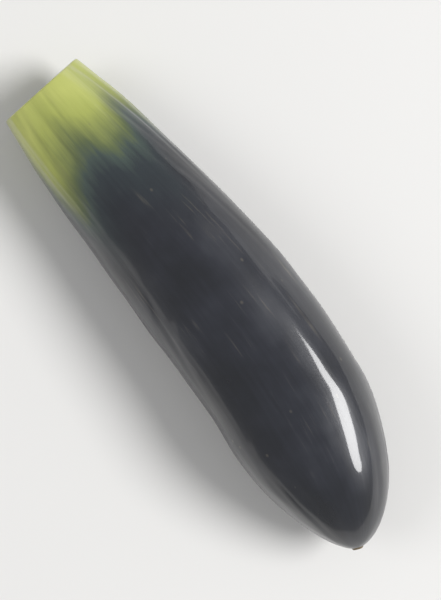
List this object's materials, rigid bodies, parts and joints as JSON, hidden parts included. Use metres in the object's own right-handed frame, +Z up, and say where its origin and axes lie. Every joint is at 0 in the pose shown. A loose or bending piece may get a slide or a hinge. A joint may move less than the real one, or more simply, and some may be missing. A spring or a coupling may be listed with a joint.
{
  "type": "sendai long eggplant",
  "caption": "Slim young long eggplant, pickled whole: dark glossy skin, yellow-green neck cut off straight, blunt pointed tip, lying on its side.",
  "frame": {"origin": "on the floor, under the middle of the fruit's outline as it lies on its side", "axes": "+X runs along the fruit from the cut neck to the pointed tip, +Y is across it, and +Z is up"},
  "size_m": [0.099, 0.0274, 0.0242],
  "materials": {
    "skin": "wet glossy vegetable skin, indigo-black, turning slate, olive and yellow-green at the neck; the cut is matt pale green flesh"
  },
  "bodies": {
    "root": {"eggplant": "skin"}
  },
  "joints": []
}
